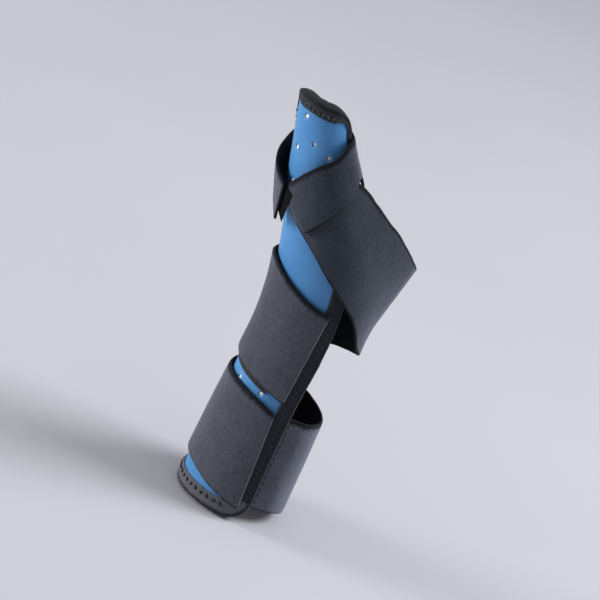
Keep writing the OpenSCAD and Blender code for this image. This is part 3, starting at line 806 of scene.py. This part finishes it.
def strap(name, path, hand, p0, p1, material, free0=True, free1=True, round0=TIP_R, seed=0, step=1.15,
          black=(1.8, 0.6), dark_end=False):
    """A strap from p0 to p1. black is how soon the lower and the upper edge turn from black to cloth; the
    black band is partly the dark cut edge and partly painted shadow. dark_end carries the black edge round
    the free end as a painted shadow of the raised end, and seed sets its unevenness."""
    pos, at, end_gap = evenly(path, hand, p0, p1, step, free0, free1)
    lo, hi = strap_point(path, hand, pos, 0.0, STRAP_T), strap_point(path, hand, pos, 1.0, STRAP_T)
    width = np.linalg.norm(hi - lo, axis=1)[:, None]
    columns = max(10, int(width.max() / 1.5))
    middle = np.linspace(0, 1, columns)[1:-1]
    run = at[-1]
    cut = np.zeros(len(pos))
    for free, radius, gap in ((free0, round0, at), (free1, TIP_R, run - at)):
        if free:
            cut = np.maximum(cut, corner_cut(gap, radius))
    cut = cut[:, None]
    frac = (INSET[None] + cut) / width
    last = frac[:, -1:]
    s = np.concatenate([frac, last + (1 - 2 * last) * middle, 1 - frac[:, ::-1]], 1)
    side_gap = np.concatenate([INSET, np.full(len(middle), 9.0), INSET[::-1]])
    across = s * width
    gap = np.minimum(side_gap[None], end_gap[:, None])
    full = np.interp(gap, INSET, FULLNESS)
    border = np.minimum((across - cut) * black[0], (width - across - cut) * black[1])
    ends = np.broadcast_to(end_gap[:, None], s.shape)
    # Painted shadow: the black edge is carried round the free end, beside which the raised end casts its
    # shade.
    if dark_end:
        border, ends = np.minimum(border, 1.8 * ends), np.full(s.shape, 9.0)
    ragged = np.where(side_gap < 1.5, 1 - side_gap / 1.5, 0) * 0.14
    at = at[:, None]
    which_side = np.sign(np.arange(s.shape[1]) - s.shape[1] / 2)
    s = s + ragged * wavy(at, which_side, 4, seed) / width
    bumps = 0.14 * (0.5 + 0.5 * wavy(at, across, 11, seed + 1)) + 0.05 * wavy(at, across, 3.5, seed + 2)
    rise = bumps * np.clip(gap / 2.5, 0, 1)
    top = STRAP_T * (0.5 + 0.5 * full) + rise
    low = STRAP_T * (0.5 - 0.5 * full)
    outer = strap_point(path, hand, pos[:, None], s, top)
    inner = strap_point(path, hand, pos[:, None], s, low)
    verts, faces = between(outer, inner)
    both = (("edge", border), ("cut", ends), ("run", np.broadcast_to(at, s.shape)))
    marks = {key: np.tile(values, (2, 1, 1)) for key, values in both}
    # The inner face is marked so the velour paints it near-black as painted shade.
    marks["inside"] = np.stack([np.zeros(s.shape), np.ones(s.shape)])
    return make(name, verts, faces, material, marks, sharp=50)


def hook_patch(name, path, hand, p0, p1, lo, hi, thick, material):
    """Hook tape under a strap from p0 to p1, between the shares lo and hi of its width, with a nub at every
    other point of its grid."""
    fine = np.linspace(p0, p1, 400)
    run = lengths(strap_point(path, hand, fine, (lo + hi) / 2, -HOOK_GAP))
    at = np.linspace(0, run[-1], int(run[-1] / NUB))
    pos = np.interp(at, run, fine)
    span = strap_point(path, hand, pos, hi, 0.0) - strap_point(path, hand, pos, lo, 0.0)
    width = np.linalg.norm(span, axis=1)
    columns = int(width.max() / NUB)
    s = np.tile(np.linspace(lo, hi, columns), (len(pos), 1))
    edge = np.minimum(np.minimum(at, run[-1] - at)[:, None],
                      np.minimum(s - lo, hi - s) * (width / (hi - lo))[:, None])
    nub = (np.indices(s.shape).sum(0) % 2 == 0) & (edge > HOOK_RIM)
    outer = strap_point(path, hand, pos[:, None], s, np.full(s.shape, -HOOK_GAP))
    inner = strap_point(path, hand, pos[:, None], s, -HOOK_GAP - thick * np.where(nub, 1.0, 0.5))
    verts, faces = between(outer, inner)
    return make(name, verts, faces, material, sharp=80)


# Where each free end hinges, as a position on its path, and how far behind that its mesh begins.
FOREARM_SEAM, WRIST_SEAM, THUMB_SEAM, BEHIND = 268.0, 266.0, 246.0, 18.0
FOREARM_JOIN, WRIST_JOIN, THUMB_JOIN = FOREARM_SEAM - BEHIND, WRIST_SEAM - BEHIND, THUMB_SEAM - BEHIND
# How far before and past the hinge bend() works out points along the strap; they are not used.
FOLD_BEFORE, FOLD_PAST = 4.5, 2.5


def build_straps():
    """Each strap's fixed run and its free end, by name."""
    fixed, free = {"free1": False}, {"free0": False}
    # The palm and thumb straps' fixed runs wear the velour painted in shade.
    pieces = (
        ("forearm_strap_band", FOREARM_PATH, False, 7.8, FOREARM_JOIN, M_FOREARM_LIT_START,
         dict(fixed, round0=0.4, seed=70)),
        ("forearm_flap_band", FOREARM_PATH, False, FOREARM_JOIN, 353, M_STRAP, dict(free, seed=75)),
        ("palm_wrist_band", WRIST_PATH, True, -80, WRIST_JOIN, M_SHADED_VELOUR,
         dict(fixed, seed=80, black=(1.0, 1.0))),
        ("wrist_flap_band", WRIST_PATH, True, WRIST_JOIN, 357, M_FLAP, dict(free, seed=85)),
        ("thumb_strap_band", THUMB_PATH, False, -58, THUMB_JOIN, M_SHADED_VELOUR, dict(fixed, seed=90)),
        ("thumb_tab_band", THUMB_PATH, False, THUMB_JOIN, 288, M_FLAP,
         dict(free, seed=95, step=0.9, dark_end=True)))
    return {row[0]: strap(*row[:-1], **row[-1]) for row in pieces}


def ride_and_replace(obj, body, node):
    """Attach a piece to the body it rides on, where one is given, and hide the CAD node it replaces."""
    if body:
        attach(obj, body)
    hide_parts(node)


shell, pad, lining = build_shell(), build_foam(), build_lining()
ride_and_replace(shell, "splint", "shell")
ride_and_replace(pad, "splint", "foam_pad")
ride_and_replace(lining, "splint", "lining")
flat_width, flat_area = flat_size(LINING_OUT / 2)
for obj, node in ((end_binding(True), "thumb_collar"), (end_binding(False), "proximal_cuff"),
                  (long_binding(0), "palmar_edge_binding"), (long_binding(1), "dorsal_edge_binding")):
    ride_and_replace(obj, "splint", node)
for obj, node in ((end_threads(True), "collar_stitches"), (end_threads(False), "cuff_stitches"),
                  (edge_threads(0), "palmar_edge_stitches"), (edge_threads(1), "dorsal_edge_stitches"),
                  (root_threads(), "forearm_strap_root_stitches")):
    ride_and_replace(obj, "splint", node)

straps = build_straps()
ride_and_replace(straps["forearm_strap_band"], "splint", "forearm_strap")
ride_and_replace(straps["palm_wrist_band"], "splint", "palm_wrist_strap")
ride_and_replace(straps["thumb_strap_band"], "splint", "thumb_strap")


def bend(obj, body, node, joint, path, hand, seam):
    """Hides the flap's CAD node and bakes its transform; the points before and past its seam are worked out
    but not used.
    """
    ride_and_replace(obj, None, node)
    middle = np.array(next(j for j in frame["joints"] if j["name"] == joint)["pos_m"]) / MM
    step = strap_point(path, hand, np.array([seam - 2.0, seam + 2.0]), 0.5, STRAP_T)
    along = (step[1] - step[0]) / np.linalg.norm(step[1] - step[0])
    start, end = (middle - along * FOLD_BEFORE) * MM, (middle + along * FOLD_PAST) * MM
    tuple(start)
    tuple(end)
    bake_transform(obj)


for piece, *fold in (
        ("forearm_flap_band", "forearm_flap", "forearm_strap_flap", "forearm_flap_peel",
         FOREARM_PATH, False, FOREARM_SEAM),
        ("wrist_flap_band", "wrist_flap", "wrist_strap_flap", "wrist_flap_peel",
         WRIST_PATH, True, WRIST_SEAM),
        ("thumb_tab_band", "thumb_tab", "thumb_strap_tab", "thumb_tab_peel",
         THUMB_PATH, False, THUMB_SEAM)):
    bend(straps[piece], *fold)

for body, node, *patch in (
        ("forearm_flap", "forearm_strap_hook",
         "forearm_hook_patch", FOREARM_PATH, False, 296, 342, 0.1, 0.9, HOOK_T, M_HOOK),
        ("wrist_flap", "wrist_strap_hook",
         "wrist_hook_patch", WRIST_PATH, True, 271, 325, -0.05, 0.6, HOOK_T, M_HOOK),
        ("splint", "palm_strap_end_hook",
         "palm_end_hook_patch", WRIST_PATH, True, -76, -50, 0.08, 0.92, HOOK_T, M_HOOK),
        ("thumb_tab", "thumb_strap_hook",
         "thumb_hook_patch", THUMB_PATH, False, 268, 297, 0.22, 0.96, HOOK_T / 2, M_DARK_HOOK)):
    ride_and_replace(hook_patch(*patch), body, node)

# ---- floor, lights and camera ----
FLOOR_HALF, FLOOR_GAP = 6000, 0.2
low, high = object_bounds()
corners = ((-1, -1), (1, -1), (1, 1), (-1, 1))
floor = make("studio_floor", [(x * FLOOR_HALF, y * FLOOR_HALF, low[2] / MM - FLOOR_GAP) for x, y in corners],
             [(0, 1, 2, 3)], floor_paint())

# The camera's turn round the splint, its height and its roll, its distance in metres, and where the middle of
# the picture falls to the right of and above the splint's foot.
TURN, TILT, ROLL = math.radians(15), math.radians(26), math.radians(26)
DISTANCE, AIM_RIGHT, AIM_UP = 1.5, 0.0432, 0.1152
LENS_MM, SENSOR_MM, FARTHEST = 150, 36, 50
back = Vector((-math.sin(TURN) * math.cos(TILT), -math.cos(TURN) * math.cos(TILT), math.sin(TILT)))
level = Vector((math.cos(TURN), -math.sin(TURN), 0))
upward = back.cross(level)
right = level * math.cos(ROLL) + upward * math.sin(ROLL)
up = upward * math.cos(ROLL) - level * math.sin(ROLL)
eye = back * DISTANCE
aim = right * AIM_RIGHT + up * AIM_UP
toward = (eye - aim).normalized()
cam_up = (up - toward * up.dot(toward)).normalized()
cam_right = cam_up.cross(toward)
camera = bpy.data.objects.new("camera", bpy.data.cameras.new("camera"))
bpy.context.collection.objects.link(camera)
camera.data.lens, camera.data.sensor_width = LENS_MM, SENSOR_MM
camera.data.clip_end = FARTHEST
camera.matrix_world = Matrix((
    (cam_right.x, cam_up.x, toward.x, eye.x), (cam_right.y, cam_up.y, toward.y, eye.y),
    (cam_right.z, cam_up.z, toward.z, eye.z), (0, 0, 0, 1)))
bpy.context.scene.camera = camera


LIT_SPOT = Vector((0.0, 0.0, 0.13))


def soft_light(name, place, size, power, colour):
    """A round soft light at place, measured from the middle of the splint and turned to face it."""
    lamp = bpy.data.objects.new(name, bpy.data.lights.new(name, "AREA"))
    bpy.context.collection.objects.link(lamp)
    lamp.data.shape, lamp.data.size, lamp.data.energy, lamp.data.color = "DISK", size, power, colour
    lamp.location = LIT_SPOT + place
    lamp.rotation_mode = "QUATERNION"
    lamp.rotation_quaternion = (-place).to_track_quat("-Z", "Y")


soft_light("key", right * -2.5 + up * 1.6 + back * 0.63, 1.25, 96, (1.0, 0.99, 0.97))
soft_light("rim", right * 2.5 + up * 1.0 + back * 0.36, 1.4, 80, (0.95, 0.97, 1.0))
soft_light("top", Vector((0.1, -0.2, 1.7)), 1.4, 7, (1, 1, 1))
world = bpy.data.worlds.new("studio")
bpy.context.scene.world = world
world.use_nodes = True
sky = world.node_tree.nodes["Background"]
sky.inputs["Color"].default_value = (0.80, 0.81, 0.86, 1)
sky.inputs["Strength"].default_value = 0.5
bpy.context.scene.view_settings.view_transform = "Standard"
